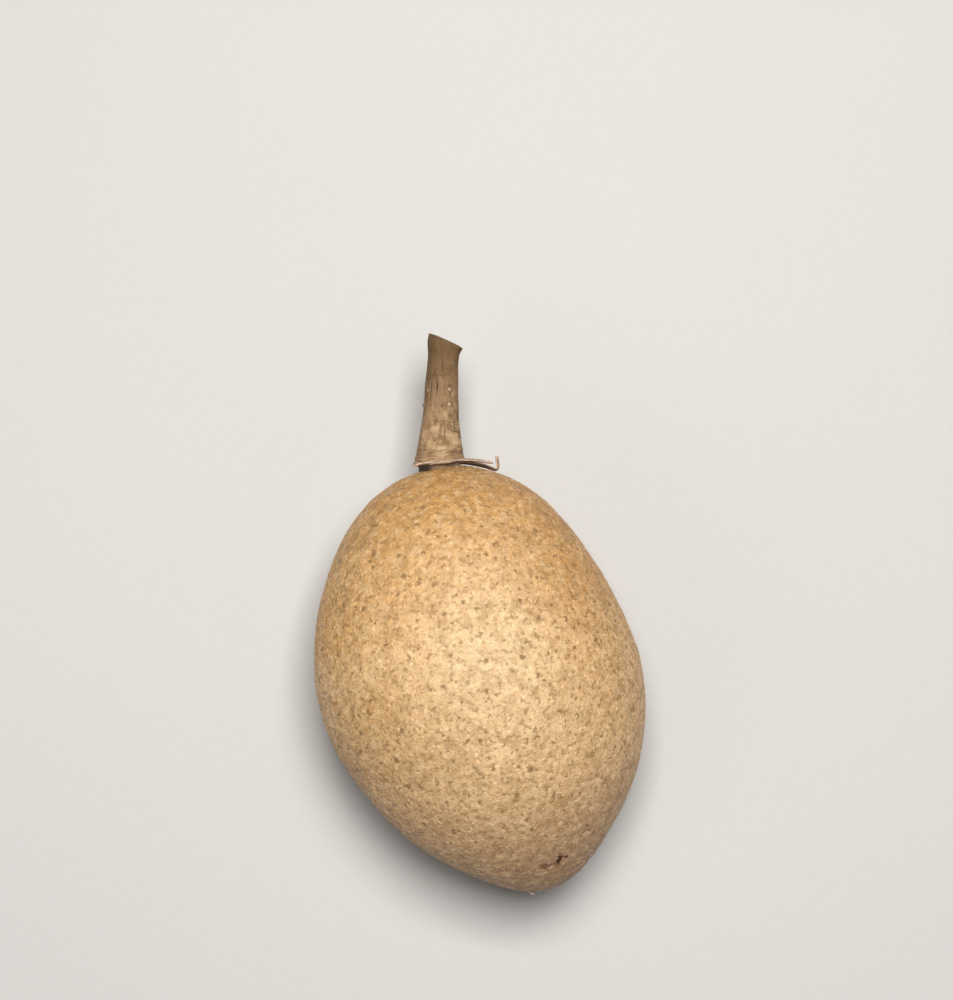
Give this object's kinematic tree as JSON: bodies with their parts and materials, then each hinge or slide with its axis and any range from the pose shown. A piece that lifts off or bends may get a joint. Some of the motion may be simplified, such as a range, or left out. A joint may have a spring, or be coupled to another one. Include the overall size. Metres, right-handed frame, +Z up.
{
  "type": "sapodilla fruit",
  "caption": "Brown egg-shaped sapodilla lying on its side, with a dried calyx and a short woody stalk at the crown; a display fruit that rests on a small flat spot.",
  "frame": {"origin": "middle of the small flat spot on the fruit's underside, on the surface it rests on", "axes": "+Y along the fruit's long axis from the pointed tip to the crown with the stalk, +X towards the fuller flank, +Z up from the surface it rests on"},
  "size_m": [0.0582, 0.1021, 0.0553],
  "materials": {
    "fruit_skin": "matte",
    "calyx_dry": "matte",
    "stalk_bark": "matte"
  },
  "bodies": {
    "root": {"fruit": "fruit_skin", "calyx": "calyx_dry", "stalk": "stalk_bark"}
  },
  "joints": []
}
